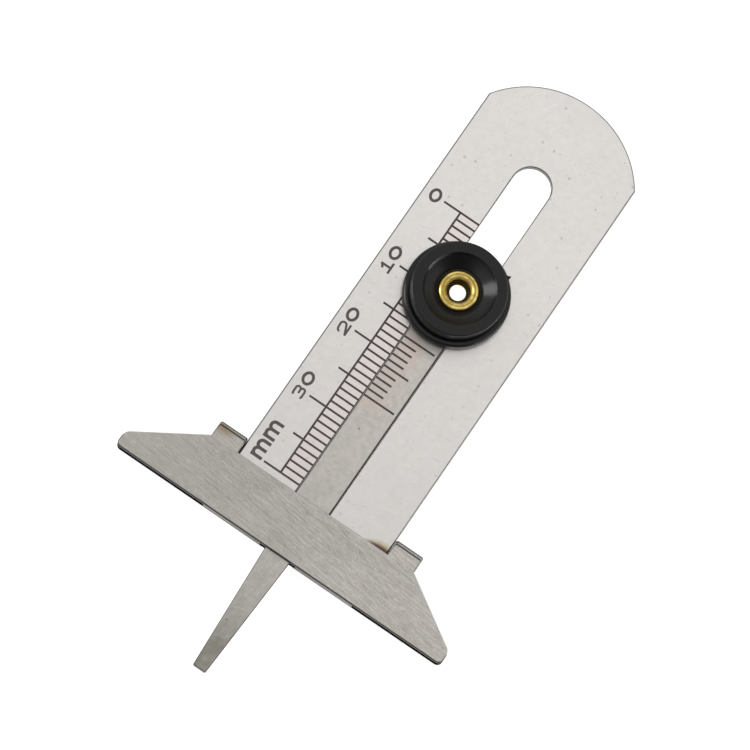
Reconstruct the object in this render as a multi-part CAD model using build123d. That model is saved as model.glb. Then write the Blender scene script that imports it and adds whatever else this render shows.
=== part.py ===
from build123d import *
import os
from math import sqrt

# Vernier tread depth gauge, in millimetres.
# The gauge lies on its back. X runs along the foot, Y runs up the gauge from the probe towards the
# rounded end, and Z points out of the scale face. The origin is on the table, under the middle of
# the gauge at rest. Heights along the gauge are measured from the measuring edge of the foot, and
# the finished pieces are moved to the origin at the end.

# Foot: one sheet folded over the plate by two tabs
sheet_thickness = 0.5
foot_length = 48.0
foot_height = 7.7
foot_end_height = 2.0
foot_lower_round = 0.7
foot_upper_round = 1.2
foot_edge_break = 0.15
tab_width = 3.95
tab_height = 10.0
tab_side_gap = 0.05

# Scale plate
plate_width = 22.0
plate_thickness = 1.2
plate_edge_break = 0.1
crown_radius = 13.2
crown_margin = 10.4

# Strip that slides in the slot of the plate, with the probe at its lower end
strip_width = 5.0
slot_clearance = 0.1
strip_recess = 0.05
probe_length = 20.0
probe_root_width = 3.9
probe_tip_width = 1.85
probe_tip_break = 0.15

# Scales, and the depth that the gauge shows at rest
reading = 17.0
scale_length = 40.0
scale_pitch = 1.0
scale_foot_margin = 1.0
short_mark = 2.83
five_mark = 4.35
ten_mark = 5.3
vernier_parts = 10
vernier_span = 9.0
vernier_short_mark = 2.3
vernier_five_mark = 3.6
vernier_end_mark = 4.5
mark_width = 0.26
mark_inset = 0.05
mark_film = 0.02

# Eyelet through the knob, the strip and the rear washers
rivet_above_zero = 7.8
shank_radius = 2.1
shank_wall = 0.2
shank_clearance = 0.05
head_radius = 2.66
head_lip_radius = 1.5
throat_radius = 1.03
throat_depth = 1.5
throat_lip = 0.15
throat_taper = 0.7
rear_rim_radius = 2.8
rear_rim_height = 0.35
rear_rim_roll = 0.4
rear_rim_bulge = 0.1
rear_flare = 0.4
rear_flare_height = 0.5

# Washers behind the plate
rear_washer_radius = 4.2
rear_washer_thickness = 0.5
spring_radius = 4.0
spring_thickness = 0.25
spring_dish = 0.25
spring_shank_gap = 0.2
running_clearance = 0.05

# Knob
knob_clearance = 0.08
knob_height = 4.4
flange_radius = 6.75
flange_height = 1.6
flange_lower_break = 0.3
flange_upper_round = 0.5
waist_radius = 5.2
waist_height = 0.6
cap_radius = 6.0
cap_edge_break = 0.25
recess_radius = 4.65
recess_chamfer = 0.3
recess_floor_radius = 2.75
recess_floor_height = 2.85
nib_direction = 53.0
nib_reach = 0.45
nib_root = 0.3
nib_root_width = 0.9
nib_tip_width = 0.2
nib_thickness = 0.5
nib_height = 1.0

# Heights above the table
spring_base = rear_rim_height + rear_washer_thickness
plate_back = spring_base + spring_thickness + spring_dish + running_clearance
plate_face = plate_back + plate_thickness
strip_back = plate_back + strip_recess
strip_face = plate_face - strip_recess
knob_base = plate_face + knob_clearance
head_seat = knob_base + recess_floor_height + running_clearance

# Places along the gauge, from the measuring edge
scale_zero = foot_height + scale_foot_margin + scale_length
vernier_zero = scale_zero - reading
rivet_height = vernier_zero + rivet_above_zero
probe_tip = -reading
slot_half = strip_width / 2 + slot_clearance
slot_end = scale_zero + rivet_above_zero
plate_top = slot_end + slot_half + crown_margin
middle = (plate_top + probe_tip) / 2


def turned(*profile):
    """Solid turned about the rivet's axis from a closed half section of radius and height."""
    section = Curve() + list(profile)
    return Pos(0, rivet_height, 0) * revolve(Plane.XZ * make_face(section), Axis.Z)


def make_scale_plate():
    """Plate with a crowned top and a slot that is open at the measuring edge."""
    half = plate_width / 2
    shoulder = plate_top - crown_radius + sqrt(crown_radius**2 - half**2)
    outline = Curve() + [
        Polyline((-slot_half, slot_end), (-slot_half, 0), (-half, 0), (-half, shoulder)),
        ThreePointArc((-half, shoulder), (0, plate_top), (half, shoulder)),
        Polyline((half, shoulder), (half, 0), (slot_half, 0), (slot_half, slot_end)),
        ThreePointArc((slot_half, slot_end), (0, slot_end + slot_half), (-slot_half, slot_end)),
    ]
    plate = Pos(0, 0, plate_back) * extrude(make_face(outline), plate_thickness)
    faces = [plate.faces().sort_by(Axis.Z)[end] for end in (0, -1)]
    rim = [edge for face in faces for edge in face.edges()
           if abs(edge.center().X) > half - slot_half or edge.center().Y > slot_end + slot_half]
    return chamfer(rim, plate_edge_break)


def make_foot():
    """Two trapezoid sheets, joined over the top by two tabs that are folded right round."""
    half = foot_length / 2
    tab_inner = plate_width / 2 + tab_side_gap
    tab_outer = tab_inner + tab_width
    corners = [(half, 0), (half, foot_end_height), (tab_outer, foot_height)]
    rounds = [foot_lower_round, foot_upper_round, 0]
    outline = make_face(FilletPolyline(
        *corners, *[(-x, y) for x, y in reversed(corners)],
        radius=[*rounds, *reversed(rounds)], close=True))
    front = Pos(0, 0, plate_face) * extrude(outline, sheet_thickness)
    back = Pos(0, 0, plate_back - sheet_thickness) * extrude(outline, sheet_thickness)

    inner_bend = plate_thickness / 2
    outer_bend = inner_bend + sheet_thickness
    bend_line = tab_height - outer_bend
    root = foot_height / 2
    fold = Curve() + [
        Polyline((bend_line, inner_bend), (root, inner_bend), (root, outer_bend), (bend_line, outer_bend)),
        ThreePointArc((bend_line, outer_bend), (tab_height, 0), (bend_line, -outer_bend)),
        Polyline((bend_line, -outer_bend), (root, -outer_bend), (root, -inner_bend), (bend_line, -inner_bend)),
        ThreePointArc((bend_line, -inner_bend), (bend_line + inner_bend, 0), (bend_line, inner_bend)),
    ]
    tab = Pos(0, 0, plate_back + inner_bend) * extrude(Plane.YZ * make_face(fold), tab_width)
    foot = front + back + Pos(tab_inner, 0, 0) * tab + Pos(-tab_outer, 0, 0) * tab

    faces = [foot.faces().filter_by(Axis.Z).sort_by(Axis.Z)[end] for end in (0, -1)]
    rim = [edge for face in faces for edge in face.edges() if edge.center().Y < (root + bend_line) / 2]
    return chamfer(rim, foot_edge_break)


def make_probe_slide():
    """Strip with a round end about the rivet, narrowed at shoulders to the tapered probe."""
    half = strip_width / 2
    root = probe_root_width / 2
    tip = probe_tip_width / 2
    shoulder = probe_tip + probe_length
    side = [(half, rivet_height), (half, shoulder + half - root), (root, shoulder),
            (tip, probe_tip + probe_tip_break), (tip - probe_tip_break, probe_tip)]
    outline = Curve() + [
        Polyline(*side, *[(-x, y) for x, y in reversed(side)]),
        ThreePointArc((-half, rivet_height), (0, rivet_height + half), (half, rivet_height)),
    ]
    hole = Pos(0, rivet_height) * Circle(shank_radius + shank_clearance)
    return Pos(0, 0, strip_back) * extrude(make_face(outline) - hole, strip_face - strip_back)


def make_mark(start, end, height):
    """One line of a scale, from its start to its end across the gauge."""
    return Pos((start + end) / 2, height) * Rectangle(abs(end - start), mark_width)


def make_main_scale_marks():
    """Filled lines of the main scale, with the rail that joins their outer ends."""
    marks = Pos(-slot_half - short_mark, scale_zero - scale_length / 2) * Rectangle(
        mark_width, scale_length + mark_width)
    for step in range(round(scale_length / scale_pitch) + 1):
        length = ten_mark if step % 10 == 0 else five_mark if step % 5 == 0 else short_mark
        marks += make_mark(-slot_half - length, -slot_half - mark_inset, scale_zero - step * scale_pitch)
    return Pos(0, 0, plate_face) * extrude(marks, mark_film)


def make_vernier_marks():
    """Filled lines of the vernier: ten parts on nine millimetres."""
    lengths = {0: vernier_end_mark, vernier_parts // 2: vernier_five_mark, vernier_parts: vernier_end_mark}
    marks = Sketch()
    for step in range(vernier_parts + 1):
        length = lengths.get(step, vernier_short_mark)
        height = vernier_zero - step * vernier_span / vernier_parts
        marks += make_mark(mark_inset - strip_width / 2, length - strip_width / 2, height)
    return Pos(0, 0, strip_face) * extrude(marks, mark_film)


def make_eyelet():
    """Hollow rivet with a rolled head, a punched throat under it, and a flared rear rim."""
    bore = shank_radius - shank_wall
    roll = (head_radius - head_lip_radius) / 2
    throat = head_seat + roll - throat_depth
    rear_edge = bore + rear_flare
    return turned(
        Polyline((shank_radius, rear_rim_height), (shank_radius, head_seat), (head_radius, head_seat)),
        ThreePointArc((head_radius, head_seat), (head_radius - roll, head_seat + roll), (head_lip_radius, head_seat)),
        Polyline((head_lip_radius, head_seat), (throat_radius, throat), (throat_radius, throat - throat_lip),
                 (bore, throat - throat_lip - throat_taper), (bore, rear_flare_height)),
        Polyline((bore, rear_flare_height), (rear_edge, 0), (rear_rim_radius - rear_rim_roll, 0)),
        SagittaArc((rear_rim_radius - rear_rim_roll, 0), (rear_rim_radius, rear_rim_height), -rear_rim_bulge),
        Line((rear_rim_radius, rear_rim_height), (shank_radius, rear_rim_height)),
    )


def make_rear_washer():
    """Plain washer that the rear rim of the eyelet holds."""
    inner = shank_radius + shank_clearance
    return turned(Polyline(
        (inner, rear_rim_height), (rear_washer_radius, rear_rim_height),
        (rear_washer_radius, spring_base), (inner, spring_base), close=True))


def make_spring_washer():
    """Dished washer that presses its outer edge on the back of the plate."""
    inner = shank_radius + spring_shank_gap
    outer_base = spring_base + spring_dish
    return turned(Polyline(
        (inner, spring_base), (spring_radius, outer_base), (spring_radius, outer_base + spring_thickness),
        (inner, spring_base + spring_thickness), close=True))


def make_thumb_knob():
    """Moulded knob: a wide flange, a waist and a cap with a conical recess for the eyelet's head."""
    bore = shank_radius + shank_clearance
    cap_base = flange_height + waist_height
    flange_edge = (flange_radius, flange_height)
    profile = [
        (bore, 0), (flange_radius - flange_lower_break, 0), (flange_radius, flange_lower_break),
        flange_edge,
        (waist_radius, flange_height), (waist_radius, cap_base),
        (cap_radius - cap_edge_break, cap_base), (cap_radius, cap_base + cap_edge_break),
        (cap_radius, knob_height - cap_edge_break), (cap_radius - cap_edge_break, knob_height),
        (recess_radius, knob_height), (recess_radius - recess_chamfer, knob_height - recess_chamfer),
        (recess_floor_radius, recess_floor_height), (bore, recess_floor_height),
    ]
    rounds = [flange_upper_round if point == flange_edge else 0 for point in profile]
    body = turned(FilletPolyline(*profile, radius=rounds, close=True))

    root = flange_radius - nib_root
    end = flange_radius + nib_reach
    nib = extrude(make_face(Polyline(
        (root, -nib_root_width / 2), (end, -nib_tip_width / 2), (end, nib_tip_width / 2),
        (root, nib_root_width / 2), close=True)), nib_thickness / 2, both=True)
    return Pos(0, 0, knob_base) * (
        body + Pos(0, rivet_height, nib_height) * Rot(0, 0, nib_direction) * nib)


nodes = {
    "scale_plate": make_scale_plate(),
    "foot": make_foot(),
    "main_scale_marks": make_main_scale_marks(),
    "probe_slide": make_probe_slide(),
    "vernier_marks": make_vernier_marks(),
    "eyelet": make_eyelet(),
    "rear_washer": make_rear_washer(),
    "spring_washer": make_spring_washer(),
    "thumb_knob": make_thumb_knob(),
}

os.makedirs("parts", exist_ok=True)
for name, solid in nodes.items():
    export_step(Pos(0, -middle, 0) * solid, f"parts/{name}.step")
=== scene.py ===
import bmesh
import bpy
from math import atan2, cos, degrees, pi, radians, sin, sqrt
from mathutils import Matrix, Quaternion, Vector


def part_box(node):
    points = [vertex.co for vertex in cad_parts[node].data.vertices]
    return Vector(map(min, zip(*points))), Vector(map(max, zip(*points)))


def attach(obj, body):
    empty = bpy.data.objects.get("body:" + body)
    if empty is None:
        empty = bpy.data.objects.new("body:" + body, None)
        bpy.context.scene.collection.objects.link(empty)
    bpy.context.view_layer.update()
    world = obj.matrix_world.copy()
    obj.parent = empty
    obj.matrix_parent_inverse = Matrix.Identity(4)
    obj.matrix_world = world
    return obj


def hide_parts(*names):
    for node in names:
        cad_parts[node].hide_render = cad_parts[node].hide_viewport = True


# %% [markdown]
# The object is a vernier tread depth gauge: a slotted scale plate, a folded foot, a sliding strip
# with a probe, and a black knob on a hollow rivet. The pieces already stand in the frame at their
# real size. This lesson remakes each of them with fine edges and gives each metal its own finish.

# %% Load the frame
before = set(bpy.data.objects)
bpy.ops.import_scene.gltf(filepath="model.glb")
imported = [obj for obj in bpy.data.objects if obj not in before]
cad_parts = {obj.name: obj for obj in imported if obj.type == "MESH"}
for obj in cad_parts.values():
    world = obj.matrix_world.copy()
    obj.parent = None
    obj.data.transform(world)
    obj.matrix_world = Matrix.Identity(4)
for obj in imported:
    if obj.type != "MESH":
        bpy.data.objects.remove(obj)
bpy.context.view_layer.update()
MM = 0.001
TINY = 0.01


def box_mm(node):
    """Lowest and highest corner of a piece of the frame, in millimetres."""
    return [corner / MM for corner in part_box(node)]


def add_object(name, data):
    """An object in the scene."""
    made = bpy.data.objects.new(name, data)
    bpy.context.scene.collection.objects.link(made)
    return made


def add_mesh(name, shape, finish):
    """An object made of a bmesh, with one finish."""
    mesh = bpy.data.meshes.new(name)
    shape.to_mesh(mesh)
    shape.free()
    mesh.materials.append(finish)
    return add_object(name, mesh)


print("pieces in the frame:", ", ".join(sorted(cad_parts)))

# %% [markdown]
# The camera looks down on the gauge with a long lens, a little from the foot's side, and is rolled
# so that the gauge lies across the picture. Its place could be dragged by hand until it looks right.
# A point to aim at, a distance and three angles say the same thing in a way that can be read.

# %% Camera
aim = Vector((-2.700, -0.773, 2.606)) * MM
distance = 629.6 * MM
tilt = radians(12.796)
swing = radians(8.878)
roll = radians(25.567)

back = Vector((sin(tilt) * sin(swing), -sin(tilt) * cos(swing), cos(tilt)))
camera = add_object("camera", bpy.data.cameras.new("camera"))
camera.data.lens = 245.2
camera.data.sensor_width = 36
camera.data.clip_start = 0.05
camera.data.clip_end = 10
camera.rotation_mode = "QUATERNION"
camera.location = aim + back * distance
camera.rotation_quaternion = back.to_track_quat("Z", "Y") @ Quaternion((0, 0, 1), roll)
bpy.context.scene.camera = camera
bpy.context.scene.view_settings.view_transform = "Standard"
print("camera at", [round(x, 4) for x in camera.location])

# %% [markdown]
# A material is a small network of nodes. Adding a node, setting it and wiring it takes many lines,
# so one helper does all three: what is passed for a socket is either a plain value or the output of
# another node. The rest of the lesson then reads like a list of what each finish is made of.

# %% Helpers for nodes


def add_node(kind, inputs, tree=None, **settings):
    """One node. Inputs are values or outputs for its sockets, and settings are its own properties."""
    wired = {socket: value for socket, value in inputs.items() if isinstance(value, bpy.types.NodeSocket)}
    tree = tree or list(wired.values())[0].id_data
    made = tree.nodes.new("ShaderNode" + kind)
    for name, value in settings.items():
        setattr(made, name, value)
    for socket, value in inputs.items():
        if socket in wired:
            tree.links.new(value, made.inputs[socket])
        else:
            made.inputs[socket].default_value = value
    return made


def calculate(operation, *values, clamp=False):
    """The result of one math node."""
    return add_node("Math", dict(enumerate(values)), operation=operation, use_clamp=clamp).outputs[0]


def times(first, second):
    """The product of two values."""
    return calculate("MULTIPLY", first, second)


def rest_of(share):
    """What a share leaves of one."""
    return calculate("SUBTRACT", 1.0, share)


def ramp(value, low, high, to_low=0.0, to_high=1.0, smooth=True):
    """A value taken from one range to another, held at both ends."""
    kind = "SMOOTHSTEP" if smooth else "LINEAR"
    return add_node("MapRange", {0: value, 1: low, 2: high, 3: to_low, 4: to_high},
                    interpolation_type=kind).outputs[0]


def ramp_mm(value, low, high, to_low=0.0, to_high=1.0, smooth=True):
    """A ramp between two places or lengths in millimetres."""
    return ramp(value, low * MM, high * MM, to_low, to_high, smooth)


def split(vector):
    """The three parts of a vector."""
    return add_node("SeparateXYZ", {0: vector}).outputs


def along(vector, way):
    """How far a vector points one way, from one to minus one."""
    return add_node("VectorMath", {0: vector, 1: way}, operation="DOT_PRODUCT").outputs["Value"]


# %% [markdown]
# Steel and glossy plastic show what is round them. The gauge lies under a wide pale ceiling that
# fades towards the horizon, as in a light tent, so flat faces look pale and edges that turn away go
# dark. A ramp on the height of the ray, leaning a little to the gauge's rounded end, makes that sky.
# A second one lifts the right side like a window, and a third darkens the side below the foot, so
# that the far side of the knob's recess goes black. Camera rays see plain white.

# %% Sky
horizon_glow = 0.42
window_bearing = 35
window_glow = 0.30
dark_bearing = -52
dark_elevation = 8
dark_loss = 0.30
lean_bearing = 124
lean_angle = 13


def direction(bearing, elevation):
    """The way to a point of the sky, from its bearing and elevation in degrees."""
    around, up = radians(bearing), radians(elevation)
    return Vector((cos(around) * cos(up), sin(around) * cos(up), sin(up)))


world = bpy.data.worlds.new("light tent")
bpy.context.scene.world = world
world.use_nodes = True
sky = world.node_tree
sky.nodes.clear()
ray = add_node("TexCoord", {}, sky).outputs["Generated"]
height = along(ray, direction(lean_bearing, 90 - lean_angle))
window = ramp(along(ray, direction(window_bearing, 0)), 0.5, 1.0, 0.0, window_glow)
loss = ramp(along(ray, direction(dark_bearing, dark_elevation)), 0.70, 1.0, 0.0, dark_loss)
glow = calculate("ADD", ramp(height, 0.20, 0.80, horizon_glow, 1.0), window)
glow = calculate("SUBTRACT", glow, loss)
seen = add_node("LightPath", {}, sky).outputs["Is Camera Ray"]
strength = calculate("MAXIMUM", glow, seen)
background = add_node("Background", {"Color": (1.0, 0.995, 0.985, 1), "Strength": strength})
add_node("OutputWorld", {0: background.outputs[0]})
print("sky of", len(sky.nodes), "nodes")

# %% [markdown]
# Two soft boxes stand low at the sides. The ceiling does most of the work, and they only add the
# glints on the knob and the rivet. The right one is a flat strip near the floor, so that only the
# knob's round edges catch it.

# %% Soft boxes
knob_low, knob_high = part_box("thumb_knob")
knob_centre = (knob_low + knob_high) / 2
box_reach = 0.5
right_bearing = -8


def soft_box(name, bearing, elevation, size, power):
    """An area lamp of a width and a height that faces the knob from a bearing and an elevation."""
    outward = direction(bearing, elevation)
    lamp = add_object(name, bpy.data.lights.new(name, "AREA"))
    lamp.data.shape = "RECTANGLE"
    lamp.data.size, lamp.data.size_y = size
    lamp.data.energy = power
    lamp.rotation_mode = "QUATERNION"
    lamp.location = knob_centre + outward * box_reach
    lamp.rotation_quaternion = outward.to_track_quat("Z", "Y")


soft_box("left soft box", 203, 22, (0.20, 0.34), 1.1)
soft_box("right soft box", right_bearing, 1.5, (0.40, 0.03), 0.9)
print("soft boxes face", [round(x, 4) for x in knob_centre])

# %% [markdown]
# The floor is mid grey paper, so that it sends little light up to the undersides, and it glows for
# the camera and in reflections, so that it looks white there. An Ambient Occlusion node measures how
# much of the sky a point sees. The glow fades where that is little, or the narrow gaps beside the
# strip would shine. Only under the middle of the slot does it stay, for the rivet's bore shows it.

# %% Floor paper
floor_grey = 0.4
floor_glow = 0.80
cover_reach = 6
lit_half = 2.2

floor_finish = bpy.data.materials.new("floor paper")
floor_finish.use_nodes = True
paper = floor_finish.node_tree
paper.nodes.clear()
path = add_node("LightPath", {}, paper).outputs
seen = calculate("MAXIMUM", path["Is Camera Ray"], path["Is Glossy Ray"])
seen = calculate("MAXIMUM", seen, path["Is Transmission Ray"])
open_sky = add_node("AmbientOcclusion", {"Distance": cover_reach * MM}, paper, samples=8).outputs["AO"]
aside = calculate("ABSOLUTE", split(add_node("TexCoord", {}, paper).outputs["Object"])[0])
under_slot = ramp_mm(aside, lit_half, lit_half + 0.2, 1.0, 0.0)
uncovered = calculate("MAXIMUM", ramp(open_sky, 0.06, 0.24, 0.0, floor_glow), under_slot)
matt = add_node("BsdfDiffuse", {"Color": (floor_grey, floor_grey, floor_grey, 1)}, paper)
light = add_node("Emission", {"Strength": times(seen, uncovered)})
both = add_node("AddShader", {0: matt.outputs[0], 1: light.outputs[0]})
add_node("OutputMaterial", {0: both.outputs[0]})
floor_finish.cycles.emission_sampling = "NONE"
print("floor paper of", len(paper.nodes), "nodes")

# %% [markdown]
# The sheet itself is one square face, so wide that its edges are never seen.

# %% Floor
floor_half = 1.5

grid = bmesh.new()
bmesh.ops.create_grid(grid, x_segments=1, y_segments=1, size=floor_half)
floor = add_mesh("floor", grid, floor_finish)
print("floor of", 2 * floor_half, "m a side")

# %% [markdown]
# Brushed grain, small pits, fine scratches and dark edges belong to more than one metal. Each is a
# node group that puts out one mask, built once and used with other values in each finish.

# %% Helpers for node groups


def new_group(name, inputs):
    """An empty group with one mask. Inputs are names with default values, and None is a vector."""
    tree = bpy.data.node_groups.new(name, "ShaderNodeTree")
    for label, value in inputs.items():
        kind = "NodeSocketVector" if value is None else "NodeSocketFloat"
        socket = tree.interface.new_socket(name=label, in_out="INPUT", socket_type=kind)
        if value is not None:
            socket.default_value = value
    tree.interface.new_socket(name="Mask", in_out="OUTPUT", socket_type="NodeSocketFloat")
    return tree, tree.nodes.new("NodeGroupInput").outputs, tree.nodes.new("NodeGroupOutput").inputs


def use_group(group, inputs):
    """The mask of a node group that is placed in a material."""
    return add_node("Group", inputs, node_tree=group).outputs[0]


def noise(vector, scale, detail):
    """An even noise of a scale and a number of finer layers."""
    return add_node("TexNoise", {"Vector": vector, "Scale": scale, "Detail": detail}).outputs[0]


# %% [markdown]
# Brushing leaves long thin streaks. A noise that is squeezed across the brushing direction and drawn
# out along it looks just like them. Squeezing happens in a Mapping node in each finish, so the group
# only adds a broad and a fine noise.

# %% Grain
grain, entry, leave = new_group("brushed grain", {"Vector": None, "Fine share": 0.5})
broad = noise(entry["Vector"], 1.0, 2.0)
fine = noise(entry["Vector"], 4.3, 3.0)
blend = add_node("Mix", {0: entry["Fine share"], 2: broad, 3: fine}).outputs[0]
grain.links.new(ramp(blend, 0.3, 0.7, smooth=False), leave["Mask"])

# %% [markdown]
# Pits are small round holes at random places. A Voronoi texture gives each cell a distance from its
# middle and a random colour. The distance draws the dot, one channel of the colour decides how large
# it is, and another whether the cell stays empty. The texture has two dimensions, because in three
# most of the dots would lie above or below the face of the sheet.

# %% Pits
pits, entry, leave = new_group("pits", {"Vector": None, "Scale": 700.0, "Size": 0.2, "Share": 0.3})
cells = add_node("TexVoronoi", {"Vector": entry["Vector"], "Scale": entry["Scale"]},
                 voronoi_dimensions="2D").outputs
chance = split(cells["Color"])
radius = times(entry["Size"], ramp(chance[0], 0.0, 1.0, 0.35, 1.0))
dot = rest_of(calculate("DIVIDE", cells["Distance"], radius))
kept = calculate("LESS_THAN", chance[1], entry["Share"])
pits.links.new(times(ramp(dot, 0.0, 0.6), kept), leave["Mask"])

# %% [markdown]
# A fine scratch is a thin, nearly straight line. Where a drawn-out noise passes its middle value it
# makes such lines, and a second, broad noise breaks them up so that only a few short ones stay.

# %% Scratches
scratches, entry, leave = new_group("scratches", {"Vector": None, "Width": 0.006, "Share": 0.5})
field = noise(entry["Vector"], 1.0, 1.0)
offset = calculate("ABSOLUTE", calculate("SUBTRACT", field, 0.5))
line = calculate("SUBTRACT", 1.0, calculate("DIVIDE", offset, entry["Width"]), clamp=True)
patch = noise(entry["Vector"], 2.7, 0.0)
past = calculate("SUBTRACT", patch, rest_of(entry["Share"]))
scratches.links.new(times(line, ramp(past, 0.0, 0.05)), leave["Mask"])

# %% [markdown]
# The punched edges of the sheets are rougher and darker than their faces. On the plate, the foot and
# the strip they are also painted near black as painted shade. Every sheet lies flat, so the height of
# the surface's own normal tells a face from an edge without an image texture.

# %% Edge line
edge_line, entry, leave = new_group("edge line", {"Normal": None, "From": 0.97, "To": 0.75})
flatness = calculate("ABSOLUTE", split(entry["Normal"])[2])
edge_line.links.new(ramp(flatness, entry["From"], entry["To"]), leave["Mask"])
print("node groups:", ", ".join(sorted(g.name for g in bpy.data.node_groups)))

# %% [markdown]
# One function starts every finish with object coordinates and a Principled shader, whose plain values
# are set on its own sockets. Another wires the results to it. Each finish below then holds only what
# is its own.

# %% Start and end of a finish


def new_finish(name, **plain):
    """A material with object coordinates and a Principled shader with plain values."""
    made = bpy.data.materials.new(name)
    made.use_nodes = True
    made.node_tree.nodes.clear()
    shader = add_node("BsdfPrincipled", plain, made.node_tree)
    add_node("OutputMaterial", {0: shader.outputs[0]})
    coords = add_node("TexCoord", {}, made.node_tree).outputs
    return made, coords["Object"], coords["Normal"]


def set_surface(made, colour, roughness, relief, depth):
    """Wires the colour, the roughness and a relief of a depth in millimetres to the shader."""
    shader = made.node_tree.nodes["Principled BSDF"]
    bump = add_node("Bump", {"Height": relief, "Strength": 1.0, "Distance": depth * MM}).outputs[0]
    for socket, value in (("Base Color", colour), ("Roughness", roughness), ("Normal", bump)):
        made.node_tree.links.new(value, shader.inputs[socket])
    return made


# %% [markdown]
# The marks on the metals are the node groups with their own size and direction. A streak or a scratch
# gets its length and width from a Mapping node that shrinks the coordinates by as much.

# %% Marks on a finish


def stretched(place, turn, length, width, shift=(0, 0, 0)):
    """Coordinates for streaks of a length and a width in millimetres, turned from X by some degrees."""
    turned = add_node("Mapping", {"Vector": place, "Rotation": (0, 0, radians(-turn))}).outputs[0]
    scale = (1 / (length * MM), 1 / (width * MM), 1 / (width * MM))
    return add_node("Mapping", {"Vector": turned, "Scale": scale, "Location": shift}).outputs[0]


def brushed(place, turn, length, width, fine, shift=(0, 0, 0)):
    """Brushed grain with streaks of a length and a width, and a share of finer ones."""
    return use_group(grain, {
        "Vector": stretched(place, turn, length, width, shift), "Fine share": fine})


def scratched(place, turn, length, width, line, share, shift=(0, 0, 0)):
    """Scratches in a field of a length and a width, with the width of a line and a share that stays."""
    return use_group(scratches, {
        "Vector": stretched(place, turn, length, width, shift), "Width": line, "Share": share})


def pitted(place, scale, size, share):
    """Pits: cells to a metre, the largest size of a pit in its cell, and the share of cells with one."""
    return use_group(pits, {"Vector": place, "Scale": scale, "Size": size, "Share": share})


def edges_of(normal, start, end):
    """The mask of edges, between two heights of the normal."""
    return use_group(edge_line, {"Normal": normal, "From": start, "To": end})


# %% [markdown]
# Boxes and distances in object coordinates place a mark. Colours are laid over each other like coats
# of paint: each has a mask, a share that it covers at most, and its colour.

# %% Places and coats


def between(value, low, high, soft):
    """A mask that is one between two limits in millimetres, with soft sides."""
    rise = ramp_mm(value, low - soft, low + soft)
    fall = ramp_mm(value, high - soft, high + soft, 1.0, 0.0)
    return times(rise, fall)


def distance_from(place, point, scale=(1, 1, 0)):
    """How far a place lies from a point in millimetres. A scale of nought leaves that direction out."""
    shift = tuple(-axis * share * MM for axis, share in zip(point, scale))
    moved = add_node("Mapping", {"Vector": place, "Location": shift, "Scale": scale}).outputs[0]
    return add_node("VectorMath", {0: moved}, operation="LENGTH").outputs["Value"]


def weighted_sum(start, *pairs):
    """A plain value with others added to it, each times its own weight."""
    total = start
    for value, weight in pairs:
        total = calculate("ADD", total, times(value, weight))
    return total


def mix_colour(share, first, second, blend="MIX"):
    """Two colours mixed by a share."""
    return add_node("Mix", {0: share, 6: first, 7: second}, data_type="RGBA",
                    blend_type=blend).outputs[2]


def tone(colour, share):
    """A colour made lighter or darker by a value."""
    grey = add_node("CombineColor", {0: share, 1: share, 2: share}).outputs[0]
    return mix_colour(1.0, colour, grey, "MULTIPLY")


def cover(colour, *coats):
    """Coats over a colour, from the lowest up: a mask, the most that it covers, and its colour."""
    for mask, share, coat in coats:
        colour = mix_colour(times(mask, share), colour, coat)
    return colour


# %% [markdown]
# The scale plate is bright stainless sheet: faintly mottled, with a few hair scratches, dull rubs and
# small dark pits that show most at its round end. Painted shade makes it a little darker towards the
# foot. The strip between the scale's rail and the slot was masked when the lines were etched, and is
# warmer. Where the foot was spot welded the heat has left a straw tint with a purple edge. Painted
# shade darkens the edges and the left edge of the slot beside the sliding strip. The sizes of the
# frame say where all that lies.

# %% Places for the marks of wear
plate_low, plate_high = box_mm("scale_plate")
marks_low, marks_high = box_mm("main_scale_marks")
foot_low, foot_high = box_mm("foot")
strip_low, strip_high = box_mm("probe_slide")
rivet_low, rivet_high = box_mm("eyelet")
rivet = (rivet_low.y + rivet_high.y) / 2
slot_half = -marks_high.x - 0.05
ladder_width = 2.83
foot_height = 7.7
foot_top = foot_low.y + foot_height
pit_colour = (0.12, 0.11, 0.10, 1)
deep_pit_colour = (0.10, 0.09, 0.08, 1)
print("the rivet stands at", round(rivet, 2), "mm, the foot ends at", round(foot_top, 2), "mm")

# %% [markdown]
# With these helpers the plate's finish is a short list: where its marks are, one colour, the tones
# that vary it, the coats that cover it, and the roughness and relief that follow from both.

# %% Plate finish


def plate_marks(place, normal):
    """Where the plate has its masked ladder, its heat tints, and painted shade on its edges and gap."""
    across, up, _ = split(place)
    ladder = times(
        between(across, -slot_half - ladder_width, -slot_half, 0.02),
        between(up, marks_low.y, marks_high.y, 0.02))
    weld = distance_from(place, (10.5, foot_top - 0.2, 0), (0.62, 1.25, 0))
    straw = ramp_mm(weld, 0.9, 1.95, 0.85, 0.0)
    burnt = distance_from(place, (10.2, foot_top - 0.2, 0), (0.32, 1.0, 0))
    purple = ramp_mm(burnt, 0.45, 0.95, 0.94, 0.0)
    # Painted shade: the edges are painted near black, most of all near the slot.
    rim = edges_of(normal, 0.9985, 0.90)
    rim = times(rim, ramp_mm(calculate("ABSOLUTE", across), 3, 9, 0.93, 0.80))
    # Painted shade in the gap: the slot's left edge beside the strip is painted dark.
    painted_gap_shade = times(
        between(across, -slot_half - 0.10, 0, 0.04), ramp_mm(up, 10, 8, 0.0, 0.93))
    return ladder, straw, purple, calculate("MAXIMUM", rim, painted_gap_shade)


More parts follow.
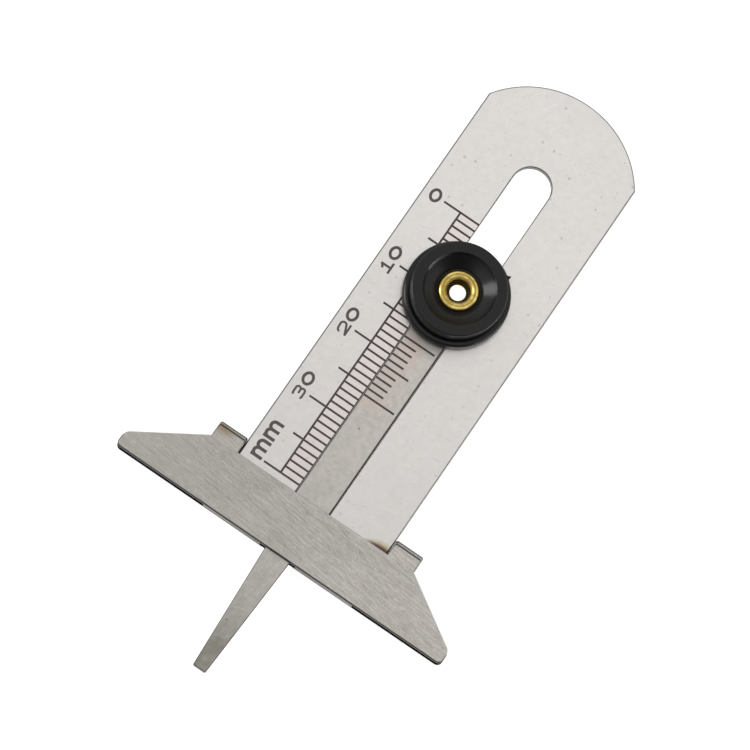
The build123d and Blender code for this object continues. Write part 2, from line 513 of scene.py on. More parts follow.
def plate_finish():
    """Bright stainless sheet."""
    made, place, normal = new_finish("plate steel", Metallic=1.0)
    ladder, straw, purple, rim = plate_marks(place, normal)
    up = split(place)[1]
    mottle = noise(place, 1300.0, 3.0)
    clouds = noise(place, 170.0, 3.0)
    streaks = brushed(place, 12, 2.4, 0.25, 0.6)
    dots = times(pitted(place, 560.0, 0.15, 0.24), ramp_mm(up, 0.0, 28, 0.28, 0.58))
    dust = pitted(place, 1700.0, 0.20, 0.12)
    flaws = calculate("MAXIMUM", times(dots, 0.50), times(dust, 0.20))
    hairs = scratched(place, 62, 9.0, 1.6, 0.005, 0.5)
    rubs = scratched(place, 14, 7.0, 1.1, 0.006, 0.46, (3, 8, 0))

    colour = mix_colour(clouds, (0.705, 0.682, 0.662, 1), (0.735, 0.716, 0.698, 1))
    colour = cover(colour, (ladder, 1.0, (0.740, 0.690, 0.668, 1)))
    # Painted shade: the colour gets darker towards the foot.
    colour = tone(colour, ramp_mm(up, -20, 22, 0.865, 1.0, smooth=False))
    colour = tone(colour, weighted_sum(0.903, (mottle, 0.15), (streaks, 0.045)))
    colour = cover(
        colour,
        (straw, 1.0, (0.42, 0.35, 0.17, 1)),
        (purple, 1.0, (0.085, 0.040, 0.055, 1)),
        (flaws, 1.0, pit_colour),
        (rubs, 0.22, (0.30, 0.29, 0.28, 1)),
        (hairs, 0.16, (0.95, 0.95, 0.95, 1)),
        (rim, 1.0, (0.036, 0.034, 0.027, 1)))
    rough = weighted_sum(0.27, (streaks, 0.05), (clouds, 0.06), (flaws, 0.3))
    relief = weighted_sum(0.0, (streaks, 0.10), (mottle, 0.15), (flaws, -1.0))
    return set_surface(made, colour, rough, relief, 0.01)


# %% [markdown]
# The foot is ground almost along its length, at a small slant, with short and uneven strokes, and is
# greyer than the plate. Its lower edge and the insides of the fold are painted dark as painted shade,
# the upper edge gets a painted highlight, and the bends show a light line between two dark ones of
# painted shade. The way that the surface faces tells these edges apart. Its colour is painted lighter
# towards the right end as painted sheen. Like the plate it has a tint from the welding, on its left tab.

# %% Foot finish


def foot_edges(place, normal):
    """Painted shade on the edges and inside the fold, and a painted highlight on the upper edge."""
    _, up, level = split(place)
    lean = split(normal)
    slope = calculate("ABSOLUTE", lean[2])
    # Painted shade on the lower edge and the bends, and a painted highlight on the upper edge.
    rim = edges_of(normal, 0.985, 0.80)
    bend = ramp_mm(up, foot_top + 0.8, foot_top + 1.0)
    glint = times(ramp(slope, 0.62, 0.72), ramp(slope, 0.80, 0.88, 1.0, 0.0))
    dark_bend = times(ramp(slope, 0.975, 0.90), rest_of(glint))
    dark = times(rim, ramp(lean[1], -0.1, 0.3, 1.0, 0.0))
    dark = add_node("Mix", {0: bend, 2: dark, 3: dark_bend}).outputs[0]
    painted_edge_highlight = times(times(ramp(lean[1], 0.05, 0.35), rim), rest_of(bend))
    # Painted shade: the insides of the fold are painted almost black.
    painted_fold_shade = between(level, plate_low.z - 0.03, plate_high.z + 0.03, 0.01)
    return dark, painted_edge_highlight, painted_fold_shade


def ground_strokes(place):
    """The uneven strokes of the grinding, weaker at the left end than at the right."""
    mixed = weighted_sum(
        0.0,
        (brushed(place, -9, 1.5, 0.12, 0.60), 0.40),
        (brushed(place, -6, 5.5, 0.22, 0.5, (7, 3, 0)), 0.25),
        (brushed(place, -20, 0.9, 0.11, 0.5, (2, 9, 0)), 0.20),
        (noise(place, 220.0, 3.0), 0.15))
    mixed = ramp(mixed, 0.28, 0.72, smooth=False)
    stroke_contrast = ramp_mm(split(place)[0], -20, 4, 0.78, 1.15)
    return calculate("ADD", 0.5, times(calculate("SUBTRACT", mixed, 0.5), stroke_contrast))


def foot_finish():
    """Ground stainless sheet, folded."""
    made, place, normal = new_finish("foot steel", Metallic=1.0)
    across, up, _ = split(place)
    dark, painted_edge_highlight, painted_fold_shade = foot_edges(place, normal)
    strokes = ground_strokes(place)
    glints = scratched(place, -9, 2.6, 0.55, 0.010, 0.50, (5, 1, 0))
    nicks = scratched(place, -13, 1.8, 0.50, 0.012, 0.42, (1, 6, 0))
    dots = pitted(place, 900.0, 0.12, 0.06)
    weld = distance_from(place, (-14.4, foot_top + 1.5, 0), (0.45, 1.1, 0))

    colour = mix_colour(strokes, (0.268, 0.252, 0.231, 1), (0.515, 0.492, 0.464, 1))
    # Painted sheen: the colour gets lighter towards the right end.
    colour = tone(colour, ramp_mm(across, -8, 20, 1.0, 1.18, smooth=False))
    colour = tone(colour, ramp_mm(up, foot_top - 0.6, foot_top + 0.4, 1.0, 1.08))
    colour = cover(
        colour,
        (ramp_mm(weld, 0.1, 1.3, 0.75, 0.0), 1.0, (0.26, 0.18, 0.10, 1)),
        (nicks, 0.55, (0.20, 0.18, 0.16, 1)),
        (dots, 0.40, pit_colour),
        (glints, 0.50, (0.80, 0.78, 0.76, 1)),
        # Painted shade on the edges and in the fold, and a painted highlight on the upper edge.
        (dark, 0.95, (0.042, 0.040, 0.036, 1)),
        (painted_edge_highlight, 0.6, (0.80, 0.78, 0.75, 1)),
        (painted_fold_shade, 1.0, (0.004, 0.004, 0.003, 1)))
    rough = ramp(strokes, 0.0, 1.0, 0.46, 0.30, smooth=False)
    relief = weighted_sum(0.0, (strokes, 0.7), (dots, -1.0), (nicks, -0.5))
    return set_surface(made, colour, rough, relief, 0.008)


# %% [markdown]
# The strip is satin and mottled where it carries the vernier, with a warm stain from the etching round
# its lines, a painted shadow of the knob, and painted shade along its right side, which leaves a dark
# seam. Below the foot the probe is ground along its length. Painted shade darkens it towards the tip,
# and it has olive blotches there.

# %% Strip finish


def strip_marks(place, normal, mottle, clouds):
    """Painted shade on the edges and seam, the painted shadow of the knob, the etching's stain, the dull
    tip.
    """
    across, up, _ = split(place)
    # Painted shade in the gap: a dark seam along the strip's right side.
    painted_gap_shade = times(
        ramp_mm(across, 2.26, 2.40), ramp_mm(up, foot_low.y - 0.1, foot_low.y + 0.1))
    # Painted shade: the edges and the seam are painted near black.
    rim = calculate("MAXIMUM", edges_of(normal, 0.995, 0.88), painted_gap_shade)
    # Painted shadow of the knob round the rivet, broken up by the mottle.
    painted_knob_shadow = times(
        ramp_mm(distance_from(place, (0, rivet, 0)), 6.6, 9.4, 0.62, 0.0),
        ramp(mottle, 0.30, 0.70, 0.55, 1.0))
    stain = times(between(across, -3, 0.3, 0.5), between(up, -5, 6.2, 0.7))
    stain = times(stain, ramp(clouds, 0.35, 0.65, 0.15, 0.75))
    dull = times(ramp(clouds, 0.40, 0.60, 0.30, 0.68), ramp_mm(up, -33, -41.5))
    return rim, painted_knob_shadow, stain, dull


def strip_finish():
    """Satin strip that turns into a ground probe."""
    made, place, normal = new_finish("strip steel", Metallic=1.0)
    up = split(place)[1]
    mottle = noise(place, 1700.0, 4.0)
    clouds = noise(place, 330.0, 3.0)
    rim, painted_knob_shadow, stain, dull = strip_marks(place, normal, mottle, clouds)
    dots = pitted(place, 520.0, 0.12, 0.12)
    dust = pitted(place, 1500.0, 0.20, 0.12)
    flaws = calculate("MAXIMUM", times(dots, 0.55), times(dust, 0.20))
    hairs = scratched(place, 14, 5.0, 0.9, 0.008, 0.5)
    probe = ramp_mm(up, foot_top - 2, foot_low.y)
    streaks = brushed(place, 88, 3.0, 0.16, 0.55)
    grained = add_node("Mix", {0: times(probe, 0.45), 2: mottle, 3: streaks}).outputs[0]
    contrast = ramp(probe, 0.0, 1.0, 0.22, 0.34)
    spread = times(calculate("SUBTRACT", grained, 0.5), 2.0)

    colour = mix_colour(clouds, (0.445, 0.430, 0.396, 1), (0.560, 0.528, 0.500, 1))
    # Painted shade: the strip gets darker down its length, most of all towards the probe's tip.
    colour = tone(colour, ramp_mm(up, -42, -24, 0.70, 0.98, smooth=False))
    colour = tone(colour, ramp_mm(up, -20, 2, 0.92, 1.05, smooth=False))
    colour = cover(colour, (dull, 1.0, (0.175, 0.170, 0.130, 1)))
    colour = tone(colour, calculate("ADD", 1.0, times(spread, contrast)))
    colour = cover(
        colour,
        (stain, 1.0, (0.560, 0.470, 0.420, 1)),
        (painted_knob_shadow, 1.0, (0.20, 0.19, 0.17, 1)),
        (flaws, 1.0, deep_pit_colour),
        (hairs, 0.25, (0.75, 0.74, 0.72, 1)),
        (rim, 0.95, (0.030, 0.027, 0.024, 1)))
    rough = weighted_sum(0.28, (grained, 0.08), (clouds, 0.06), (flaws, 0.3))
    relief = weighted_sum(0.0, (grained, 0.35), (flaws, -1.0))
    return set_surface(made, colour, rough, relief, 0.008)


# %% [markdown]
# The washers behind the plate are plain brushed sheet, so one recipe serves both of them: the colours
# of the grain's valleys and crests, and the colour of the edges.

# %% Washer finish


def washer_finish(name, valley, crest, edge):
    """Brushed sheet for the pieces behind the plate."""
    made, place, normal = new_finish(name, Metallic=1.0)
    streaks = brushed(place, 30, 2.0, 0.09, 0.55)
    dots = pitted(place, 900.0, 0.09, 0.3)
    colour = mix_colour(streaks, (*valley, 1), (*crest, 1))
    colour = cover(
        colour, (dots, 0.35, deep_pit_colour), (edges_of(normal, 0.97, 0.75), 0.85, (*edge, 1)))
    rough = ramp(streaks, 0.0, 1.0, 0.38, 0.26, smooth=False)
    return set_surface(made, colour, rough, weighted_sum(0.0, (streaks, 0.6), (dots, -1.0)), 0.008)


# %% [markdown]
# The knob is moulded in black plastic: hardly any colour of its own, a soft gloss, a very fine
# unevenness that blurs the reflections, and the faint rings of the turned mould. The thumb has
# dulled its steep sides, apart from the one that it never pushes. The recess is painted a little
# lighter as painted reflection, apart from the side that faces the dark part of the sky, which
# stays black.

# %% Plastic finish
dark_side_bearing = -56
ring_pitch = 0.11


def plastic_finish():
    """Glossy black moulding."""
    made, place, normal = new_finish("knob plastic", Metallic=0.0, IOR=1.375)
    from_axis = distance_from(place, (0, rivet, 0))
    clouds = noise(place, 900.0, 3.0)
    rings = calculate("SINE", times(from_axis, 2 * pi / (ring_pitch * MM)))
    steep = ramp(split(normal)[2], 0.70, 0.45)
    specks = times(pitted(place, 1500.0, 0.1, 0.05), rest_of(steep))
    bright_side = along(normal, direction(right_bearing, 0))
    facing_dark_sky = along(normal, direction(dark_side_bearing, 0))
    # Painted reflection: the recess is lifted from black, apart from the side that faces the dark part of
    # the sky.
    painted_recess_light = times(ramp_mm(from_axis, 3.2, 5.0, 1.0, 0.0),
                 ramp(facing_dark_sky, 0.40, 0.56, 1.0, 0.0))
    dulled = times(steep, ramp(bright_side, 0.45, 0.62, 1.0, 0.0))

    colour = mix_colour(specks, (0.0024, 0.0026, 0.0027, 1), (0.03, 0.03, 0.03, 1))
    colour = cover(colour, (painted_recess_light, 1.0, (0.016, 0.0165, 0.017, 1)))
    rough = weighted_sum(0.17, (clouds, 0.12), (dulled, 0.38))
    relief = weighted_sum(0.0, (clouds, 1.0), (specks, 1.0), (rings, 0.04))
    return set_surface(made, colour, rough, relief, 0.004)


# %% [markdown]
# The rivet is brass. Its roll is polished by the tool, with a painted dark reflection along the crest
# and a tarnished outer side, and the throat below is dull and painted dark as painted shade. Again the
# distance from the axis places that.

# %% Brass finish


def brass_finish():
    """Brass that is polished on the roll, and dull in the throat, which has painted shade."""
    made, place, _ = new_finish("rivet brass", Metallic=1.0)
    from_axis = distance_from(place, (0, rivet, 0))
    clouds = noise(place, 1400.0, 3.0)
    # Painted reflection: a dark band along the crest of the roll.
    crest = between(from_axis, 1.93, 2.14, 0.07)
    outer = ramp_mm(from_axis, 2.36, 2.58)
    inner = ramp_mm(from_axis, 1.95, 1.78)
    roll_foot = rivet_high.z - 0.35
    # Painted shade: the throat is painted almost black.
    throat = times(ramp_mm(from_axis, 1.72, 1.52),
                   ramp_mm(split(place)[2], roll_foot, roll_foot - 0.3))

    colour = mix_colour(
        ramp(clouds, 0.32, 0.66), (0.90, 0.72, 0.26, 1), (0.52, 0.38, 0.10, 1))
    colour = cover(
        colour,
        (crest, 0.80, (0.24, 0.17, 0.04, 1)),
        (outer, 0.92, (0.07, 0.05, 0.015, 1)),
        (throat, 0.95, (0.045, 0.036, 0.014, 1)))
    rough = weighted_sum(0.20, (clouds, 0.14), (inner, 0.25), (throat, 0.2))
    return set_surface(made, colour, rough, clouds, 0.006)


# %% [markdown]
# The etched lines are filled with a dark paint that is never quite even. The numerals were filled
# with a thinner coat, so they get the same recipe in a lighter mix.

# %% Ink finish and the list of finishes


def ink_finish(name, dark, light):
    """Dark filling of the etched lines, a little uneven."""
    made, place, _ = new_finish(name, Metallic=0.0, IOR=1.45)
    clouds = noise(place, 1600.0, 3.0)
    colour = mix_colour(clouds, (*dark, 1), (*light, 1))
    return set_surface(made, colour, ramp(clouds, 0.0, 1.0, 0.5, 0.7), clouds, 0.003)


finishes = {
    "plate_steel": plate_finish(),
    "foot_steel": foot_finish(),
    "strip_steel": strip_finish(),
    "washer_steel": washer_finish(
        "washer steel", (0.45, 0.45, 0.45), (0.62, 0.62, 0.61), (0.25, 0.25, 0.25)),
    "spring_steel": washer_finish(
        "spring steel", (0.30, 0.30, 0.31), (0.44, 0.44, 0.46), (0.20, 0.20, 0.20)),
    "knob_plastic": plastic_finish(),
    "rivet_brass": brass_finish(),
    "mark_fill": ink_finish("mark fill", (0.028, 0.018, 0.019), (0.070, 0.048, 0.048)),
}
numeral_ink = ink_finish("numeral fill", (0.046, 0.041, 0.037), (0.100, 0.090, 0.082))
print("finishes:", ", ".join(finishes))

# %% [markdown]
# The sheets all start as a flat outline. Typing in every point of an arc would be hopeless, so a
# corner may carry an arc: its point is spun about a centre, which leaves a chain of edges behind.
# The same outline serves as the half section of a turned piece.

# %% Outlines


def points_in(geometry):
    """The points among the things that an operator made."""
    return [item for item in geometry if isinstance(item, bmesh.types.BMVert)]


def draw_outline(shape, corners, arcs=None):
    """A closed chain of edges. An arc leaves the corner of its number: centre, degrees and steps."""
    edges, first, last = [], None, None
    for number, corner in enumerate(corners):
        here = shape.verts.new((*corner, 0))
        if last:
            edges.append(shape.edges.new((last, here)))
        first, last = first or here, here
        if arcs and number in arcs:
            centre, turned, steps = arcs[number]
            before = set(shape.edges)
            spun = bmesh.ops.spin(shape, geom=[here], cent=(*centre, 0), axis=(0, 0, 1),
                                  angle=radians(turned), steps=steps)
            edges += [edge for edge in shape.edges if edge not in before]
            last = points_in(spun["geom_last"])[0]
    edges.append(shape.edges.new((last, first)))
    return edges


def fill_outline(shape, corners, arcs=None):
    """One flat face inside a closed outline."""
    return bmesh.ops.contextual_create(shape, geom=draw_outline(shape, corners, arcs))["faces"][0]


def thicken(shape, faces, thickness):
    """Pulls flat faces up into a solid, and returns the points of its top."""
    top = points_in(bmesh.ops.extrude_face_region(shape, geom=faces)["geom"])
    bmesh.ops.translate(shape, verts=top, vec=(0, 0, thickness))
    return top


def round_edges(shape, edges, width, segments=4):
    """Rounds edges by a width in millimetres."""
    bmesh.ops.bevel(shape, geom=edges, offset=width, offset_type="OFFSET", segments=segments,
                    profile=0.5, affect="EDGES", material=-1, clamp_overlap=True)


def round_corners(shape, corners, width, segments):
    """Rounds the corners of a flat face by a width in millimetres."""
    bmesh.ops.bevel(shape, geom=corners, offset=width, offset_type="OFFSET", segments=segments,
                    profile=0.5, affect="VERTICES", material=-1)


def turn(shape, points, angle, axis="Z"):
    """Turns points about an axis through the origin."""
    bmesh.ops.rotate(shape, verts=points, cent=(0, 0, 0), matrix=Matrix.Rotation(angle, 3, axis))


# %% [markdown]
# Each piece is modelled in millimetres and ends in the same way. Its doubles are merged and its
# normals turned outwards. Shading runs on over small roundings, but it stops at real corners and
# where a narrow rounding meets a wide face, or the wide face would look dented. The mesh is brought
# to metres, gets its finish, rides on its body and takes the place of the plainer piece of the frame.

# %% Finish a piece
double_reach = 0.0005
smooth_limit = 35
widest_ratio = 4


def finish_piece(shape, name, node, slot, body):
    """Makes an object of a bmesh in millimetres, which may stand for a piece of the frame."""
    bmesh.ops.remove_doubles(shape, verts=shape.verts, dist=double_reach)
    bmesh.ops.recalc_face_normals(shape, faces=shape.faces)
    for edge in shape.edges:
        areas = sorted(face.calc_area() for face in edge.link_faces)
        gentle = edge.calc_face_angle(pi) < radians(smooth_limit)
        edge.smooth = gentle and areas[-1] < widest_ratio * areas[0]
    for face in shape.faces:
        face.smooth = True
    bmesh.ops.scale(shape, verts=shape.verts, vec=(MM, MM, MM))
    piece = add_mesh(name, shape, finishes[slot])
    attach(piece, body)
    if node:
        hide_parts(node)
    size = [round(x / MM, 2) for x in piece.dimensions]
    print(name, len(piece.data.polygons), "faces, size", size, "mm")
    return piece


# %% [markdown]
# The scale plate is a blanked sheet with a crowned top and a slot that is open below. One flat face
# with two arcs is pulled up to the thickness. The punch rolled the outer edges over, so these are
# rounded more than the slot's, which was cut to fit the strip.

# %% Scale plate
crown_radius = 13.2
slot_end = 30.25
outer_rounding = 0.2
slot_rounding = 0.12
crown_steps = 72
slot_steps = 48


def make_plate():
    """The slotted plate."""
    shape = bmesh.new()
    half, top, foot = plate_high.x, plate_high.y, plate_low.y
    crown = top - crown_radius
    rise = sqrt(crown_radius**2 - half**2)
    sweep = 180 - 2 * degrees(atan2(rise, half))
    face = fill_outline(
        shape,
        [(half, foot), (half, crown + rise), (-half, foot), (-slot_half, foot), (-slot_half, slot_end),
         (slot_half, foot)],
        {1: ((0, crown), sweep, crown_steps), 4: ((0, slot_end), -180, slot_steps)})
    thicken(shape, [face], plate_high.z - plate_low.z)
    bmesh.ops.translate(shape, verts=shape.verts, vec=(0, 0, plate_low.z))
    flat = [edge for edge in shape.edges if abs(edge.verts[0].co.z - edge.verts[1].co.z) < TINY]
    side, end = slot_half + TINY, slot_end + slot_half + TINY
    inner = [edge for edge in flat if all(abs(v.co.x) < side and v.co.y < end for v in edge.verts)]
    round_edges(shape, [edge for edge in flat if edge not in inner], outer_rounding)
    round_edges(shape, [edge for edge in inner if edge.is_valid], slot_rounding, 3)
    return finish_piece(shape, "slotted_plate", "scale_plate", "plate_steel", "gauge_frame")


make_plate()

# %% [markdown]
# The foot is one sheet, cut as two trapezoids that are joined by two tabs and folded round the plate.
# The front sheet is drawn flat and thickened, and the back sheet is its mirror image. The open ends
# of the tabs are then spun half a turn about the bend line, exactly as the press folds them.

# %% Foot
sheet = 0.5
foot_end_height = 2.0
lower_round = 0.7
upper_round = 0.66
tab_inner = 11.05
tab_outer = 15.0
corner_steps = 8
bend_steps = 20
foot_rounding = 0.24
rim_angle = 40


def make_foot():
    """The folded sheet with its two hairpin tabs."""
    shape = bmesh.new()
    low, high = foot_low, foot_high
    middle = (low.z + high.z) / 2
    bend = high.y - (high.z - middle)
    top = low.y + foot_height
    right = [(high.x, low.y), (high.x, low.y + foot_end_height), (tab_outer, top), (tab_outer, bend),
             (tab_inner, bend), (tab_inner, top)]
    left = [(-x, y) for x, y in reversed(right)]
    fill_outline(shape, right + left)
    for level, reach in ((low.y, lower_round), (low.y + foot_end_height, upper_round)):
        corners = [v for v in shape.verts if abs(v.co.y - level) < TINY]
        round_corners(shape, corners, reach, corner_steps)
    thicken(shape, shape.faces[:], sheet)
    bmesh.ops.translate(shape, verts=shape.verts, vec=(0, 0, high.z - sheet))
    ends = [face for face in shape.faces if all(abs(v.co.y - bend) < TINY for v in face.verts)]
    rims = [edge for face in ends for edge in face.edges]
    bmesh.ops.delete(shape, geom=ends, context="FACES_ONLY")
    mirrored = bmesh.ops.duplicate(shape, geom=shape.verts[:] + shape.edges[:] + shape.faces[:])["geom"]
    bmesh.ops.scale(shape, verts=points_in(mirrored), vec=(1, 1, -1),
                    space=Matrix.Translation((0, 0, -middle)))
    bmesh.ops.spin(shape, geom=rims, cent=(0, bend, middle), axis=(1, 0, 0), angle=-pi, steps=bend_steps)
    bmesh.ops.remove_doubles(shape, verts=shape.verts, dist=TINY)
    bmesh.ops.recalc_face_normals(shape, faces=shape.faces)
    outside = (high.z - middle) - TINY

    def outer(v):
        """True on the outer skin of the fold."""
        return Vector((max(v.co.y - bend, 0), v.co.z - middle)).length > outside

    rim = [edge for edge in shape.edges
           if edge.calc_face_angle(0) > radians(rim_angle) and all(outer(v) for v in edge.verts)]
    round_edges(shape, rim, foot_rounding)
    return finish_piece(shape, "folded_foot", "foot", "foot_steel", "gauge_frame")


make_foot()

# %% [markdown]
# The strip fills the slot and narrows to the probe under the foot. Its round end lies under the knob,
# with a hole for the rivet. A face can't have a hole in it, so the outline and the circle are filled
# together as triangles, and the flat ones are joined again afterwards.

# %% Strip with its probe
rivet_hole = 2.15
probe_length = 20.0
probe_root = 1.95
probe_tip = 0.925
tip_break = 0.15
strip_rounding = 0.09
strip_end_steps = 48
hole_steps = 64
corner_angle = 60


def make_strip():
    """The vernier strip and the probe, in one piece."""
    shape = bmesh.new()
    half, tip = strip_high.x, strip_low.y
    shoulder = tip + probe_length
    right = [(half, rivet), (half, shoulder + half - probe_root), (probe_root, shoulder),
             (probe_tip, tip + tip_break), (probe_tip - tip_break, tip)]
    left = [(-x, y) for x, y in reversed(right)]
    corners = right + left
    draw_outline(shape, corners, {len(corners) - 1: ((0, rivet), -180, strip_end_steps)})
    bmesh.ops.create_circle(shape, segments=hole_steps, radius=rivet_hole,
                            matrix=Matrix.Translation((0, rivet, 0)))
    bmesh.ops.remove_doubles(shape, verts=shape.verts, dist=TINY)
    bmesh.ops.triangle_fill(shape, use_beauty=True, edges=shape.edges[:])
    bmesh.ops.dissolve_limit(shape, angle_limit=radians(1), verts=shape.verts, edges=shape.edges)
    thicken(shape, shape.faces[:], strip_high.z - strip_low.z)
    bmesh.ops.translate(shape, verts=shape.verts, vec=(0, 0, strip_low.z))
    bmesh.ops.recalc_face_normals(shape, faces=shape.faces)
    sharp = [edge for edge in shape.edges if edge.calc_face_angle(0) > radians(corner_angle)]
    round_edges(shape, sharp, strip_rounding, 3)
    return finish_piece(shape, "vernier_strip", "probe_slide", "strip_steel", "slider")


make_strip()

# %% [markdown]
# Knob, rivet and washers are round, so each is a half section that is spun a full turn about the
# rivet's axis. The section's corners are rounded before the spin, while it is still one flat face:
# that costs nothing and gives every ring its own small radius.

# %% Helper for turned pieces
turn_steps = 192
ring_steps = 6


def turn_section(shape, corners, rounds=None, arcs=None):
    """Spins a closed section of radius and height about the rivet's axis. Rounds belong to corners."""
    face = fill_outline(shape, corners, arcs)
    for number, reach in (rounds or {}).items():
        corner = min(face.verts, key=lambda v: (v.co.xy - Vector(corners[number])).length)
        round_corners(shape, [corner], reach, ring_steps)
        face = shape.faces[:][0]
    bmesh.ops.delete(shape, geom=[face], context="FACES_ONLY")
    turn(shape, shape.verts, pi / 2, "X")
    bmesh.ops.translate(shape, verts=shape.verts, vec=(0, rivet, 0))
    bmesh.ops.spin(shape, geom=shape.edges[:], cent=(0, rivet, 0), axis=(0, 0, 1), angle=2 * pi,
                   steps=turn_steps, use_merge=True)


# %% [markdown]
# The knob has a wide flange to push on, a waist, and a cap with a conical recess that leads down to
# the head of the rivet. A small nib on the flange is left from the gate of the mould. It is a short
# wedge whose root lies inside the flange, so that the two read as one moulding.

# %% Knob
flange_radius = knob_centre.x / MM + (knob_high.x - knob_low.x) / 2 / MM
flange_height = 1.6
waist_radius = 5.2
waist_height = 0.6
cap_radius = 6.0
recess_radius = 4.65
recess_chamfer = 0.3
recess_floor_radius = 2.75
recess_depth = 1.55
nib_bearing = 53
nib_reach = 0.45
nib_root = 0.3
nib_half = 0.5
nib_thickness = 0.5
nib_height = 1.0


def make_knob():
    """The moulded knob with its nib."""
    shape = bmesh.new()
    base, top = knob_low.z / MM, knob_high.z / MM
    flange_top = base + flange_height
    cap_base = flange_top + waist_height
    turn_section(
        shape,
        [(rivet_hole, base), (flange_radius, base), (flange_radius, flange_top),
         (waist_radius, flange_top), (waist_radius, cap_base), (cap_radius, cap_base),
         (cap_radius, top), (recess_radius, top), (recess_radius - recess_chamfer, top - recess_chamfer),
         (recess_floor_radius, top - recess_depth), (rivet_hole, top - recess_depth)],
        {1: 0.3, 2: 0.5, 3: 0.1, 4: 0.1, 5: 0.25, 6: 0.25, 7: 0.05, 8: 0.06, 9: 0.1})
    nib = bmesh.ops.create_circle(shape, segments=3, radius=1, cap_ends=True)["verts"]
    bmesh.ops.scale(shape, verts=nib, vec=(nib_half, (nib_root + nib_reach) * 2 / 3, 1))
    turn(shape, nib, -pi / 2)
    reach = flange_radius + nib_reach - max(v.co.x for v in nib)
    bmesh.ops.translate(shape, verts=nib, vec=(reach, 0, -nib_thickness / 2))
    nib += thicken(shape, nib[0].link_faces[:], nib_thickness)
    turn(shape, nib, radians(nib_bearing))
    bmesh.ops.translate(shape, verts=nib, vec=(0, rivet, base + nib_height))
    return finish_piece(shape, "moulded_knob", "thumb_knob", "knob_plastic", "knob")


make_knob()

# %% [markdown]
# The rivet is a hollow brass eyelet. Its head is rolled over like a small tyre, and the bore narrows
# to a punched throat below it. At the back the tube is flared over the washer. The roll is an arc of
# the section, and the edges of the sheet brass are all a little round.

# %% Eyelet
shank_radius = 2.1
bore_radius = 1.9
head_radius = 2.66
lip_radius = 1.5
throat_radius = 1.03
throat_depth = 1.5
throat_lip = 0.15
throat_taper = 0.7
rim_radius = 2.8
rim_height = 0.35
rim_roll = 0.4
flare = 0.4
flare_height = 0.5
roll_steps = 24


def make_eyelet():
    """The hollow rivet."""
    shape = bmesh.new()
    roll = (head_radius - lip_radius) / 2
    seat = rivet_high.z - roll
    throat = rivet_high.z - throat_depth
    low = rivet_low.z
    turn_section(
        shape,
        [(shank_radius, low + rim_height), (shank_radius, seat), (head_radius, seat),
         (throat_radius, throat), (throat_radius, throat - throat_lip),
         (bore_radius, throat - throat_lip - throat_taper), (bore_radius, low + flare_height),
         (bore_radius + flare, low), (rim_radius - rim_roll, low), (rim_radius, low + rim_height)],
        {4: 0.05, 6: 0.15, 8: 0.25, 9: 0.06},
        {2: ((head_radius - roll, seat), 180, roll_steps)})
    return finish_piece(shape, "hollow_rivet", "eyelet", "rivet_brass", "slider")


make_eyelet()

# %% [markdown]
# Two washers sit behind the plate: a plain one under the flared end, and a dished spring washer that
# gives the slide its drag. They are stamped from sheet, so their edges are only just broken.

# %% Washers
washer_play = 0.05
spring_play = 0.2
spring_dish = 0.25
washer_break = 0.05


def make_washer(name, node, slot, inner, dish):
    """A washer that fills the box of its node. A dish lifts its outer edge."""
    shape = bmesh.new()
    low, high = box_mm(node)
    thickness = high.z - low.z - dish
    turn_section(
        shape,
        [(inner, low.z), (high.x, low.z + dish), (high.x, high.z), (inner, low.z + thickness)],
        {corner: washer_break for corner in range(4)})
    return finish_piece(shape, name, node, slot, "slider")


make_washer("plain_washer", "rear_washer", "washer_steel", shank_radius + washer_play, 0)
make_washer("dished_washer", "spring_washer", "spring_steel", shank_radius + spring_play, spring_dish)

# %% [markdown]
# The lines of both scales are thin films in the frame and already have their true shape, so they only
# need the colour of the filling.

# %% Scale lines
for node in ("main_scale_marks", "vernier_marks"):
    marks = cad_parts[node]
    marks.data.materials.clear()
    marks.data.materials.append(finishes["mark_fill"])
    print(node, "filled")

# %% [markdown]
# The numerals are drawn as an engraver would, with a flat pen. The pen is one short edge. Pulling it
# forward gives a straight stroke, and spinning it about a point beside it gives a round one, so every
# bow has an even width. A font could give letters too, but not the wide, open ones of this scale.

# %% Pen for the numerals
pen_width = 0.37
stroke_steps = 12


def draw_stroke(shape, start, bearing, moves, width):
    """One stroke of the pen. Moves are a length, or a radius and degrees (positive turns left)."""
    heading = radians(bearing)
    across = Vector((-sin(heading), cos(heading), 0)) * width / 2
    here = Vector((*start, 0))
    edge = shape.edges.new([shape.verts.new(here - across), shape.verts.new(here + across)])
    for move in moves:
        forward = Vector((cos(heading), sin(heading), 0))
        if isinstance(move, tuple):
            radius, turned = move
            centre = here + Vector((-forward.y, forward.x, 0)) * radius * (1 if turned > 0 else -1)
            spun = bmesh.ops.spin(shape, geom=[edge], cent=centre, axis=(0, 0, 1), angle=radians(turned),
                                  steps=stroke_steps)["geom_last"]
            heading += radians(turned)
        else:
            spun = bmesh.ops.extrude_edge_only(shape, edges=[edge])["geom"]
            bmesh.ops.translate(shape, verts=points_in(spun), vec=forward * move)
        edge = [item for item in spun if isinstance(item, bmesh.types.BMEdge)][0]
        here = (edge.verts[0].co + edge.verts[1].co) / 2


# %% [markdown]
# Each sign is a list of strokes about its own middle: where the pen starts, which way it looks, and
# its moves. The nought is a four-centred oval, the way it is laid out on a drawing board: two small
# arcs at its sides and two larger ones above and below. The other numerals have a finer stroke. A
# text is its signs, the place of the first one up the scale, the pitch of the signs, the line through
# their middles, and how heavy they are. Each later stroke of a sign reaches a little further down and
# up, so that no two faces lie in one plane.

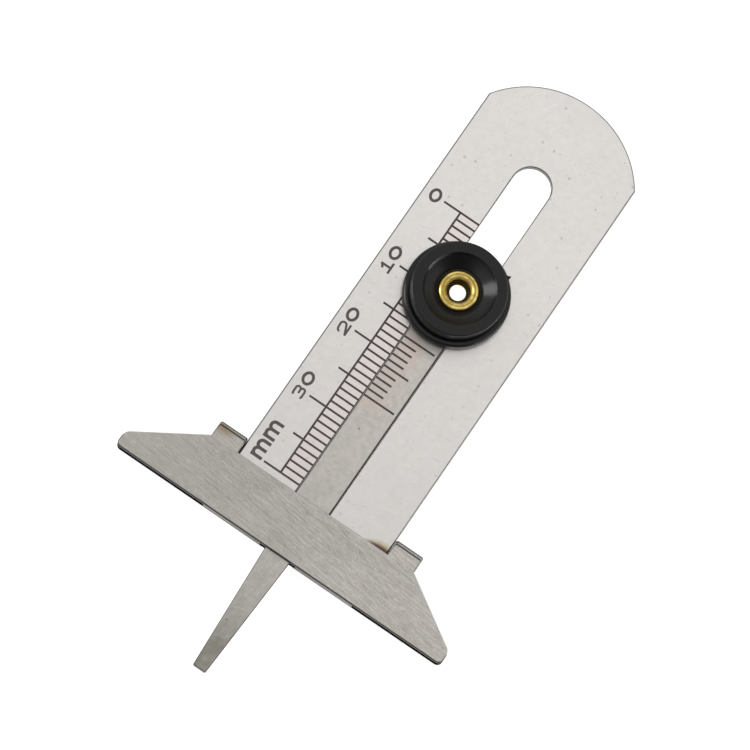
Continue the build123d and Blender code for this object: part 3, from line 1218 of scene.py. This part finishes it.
# %% Signs
rise = 0.62
oval_side = 0.504
oval_top = 0.866
bowl = rise / 2
arch = 0.5225
stem_foot = -0.82
signs = {
    "0": [((0.76, 0), 90, [(oval_side, 45), (oval_top, 90), (oval_side, 90), (oval_top, 90),
                           (oval_side, 45)])],
    "1": [((0, -rise), 90, [2 * rise + pen_width / 2]), ((-0.50, rise - 0.30), 32, [0.5]),
          ((-0.78, -rise), 0, [1.52])],
    "2": [((-0.66, rise - 0.41), 85, [(0.4, -80), 0.55, (0.4, -163), 1.18]), ((-0.80, -rise), 0, [1.6])],
    "3": [((-0.60, rise - 0.15), 60, [(0.3, -60), 0.66, (bowl, -180), 0.5]),
          ((0.08, 0), 0, [0.24, (bowl, -180), 0.66, (0.3, -60)])],
    "m": [((-2 * arch, stem_foot), 90, [-2 * stem_foot]),
          ((-2 * arch, 0), 90, [0.135, (arch, -180), 0.135 - stem_foot]),
          ((0, 0), 90, [0.135, (arch, -180), 0.135 - stem_foot])],
}
slender = {"1": 0.80, "2": 0.74, "3": 0.74}
texts = (("0", 22.50, 0.0, -9.21, 1.0), ("10", 11.53, 1.96, -9.22, 1.0), ("20", 1.93, 2.03, -9.22, 1.0),
         ("30", -7.92, 2.05, -9.22, 1.0), ("mm", -16.47, 2.77, -9.08, 1.13))


def make_numerals():
    """The numerals of the main scale and its unit, as thin films on the plate."""
    shape = bmesh.new()
    film = marks_high.z - plate_high.z
    for text, first, pitch, line, weight in texts:
        for number, sign in enumerate(text):
            width = pen_width * weight * slender.get(sign, 1.0)
            for order, (start, bearing, moves) in enumerate(signs[sign]):
                old = set(shape.verts)
                draw_stroke(shape, start, bearing, moves, width)
                bmesh.ops.remove_doubles(shape, verts=[v for v in shape.verts if v not in old], dist=TINY)
                new = [v for v in shape.verts if v not in old]
                turn(shape, new, pi / 2)
                sunk = film * order / 10
                place = (line, first + number * pitch, plate_high.z - sunk)
                bmesh.ops.translate(shape, verts=new, vec=place)
                faces = list({face for v in new for face in v.link_faces})
                thicken(shape, faces, film + 2 * sunk)
    piece = finish_piece(shape, "scale_numerals", None, "mark_fill", "gauge_frame")
    piece.data.materials[0] = numeral_ink
    return piece


make_numerals()
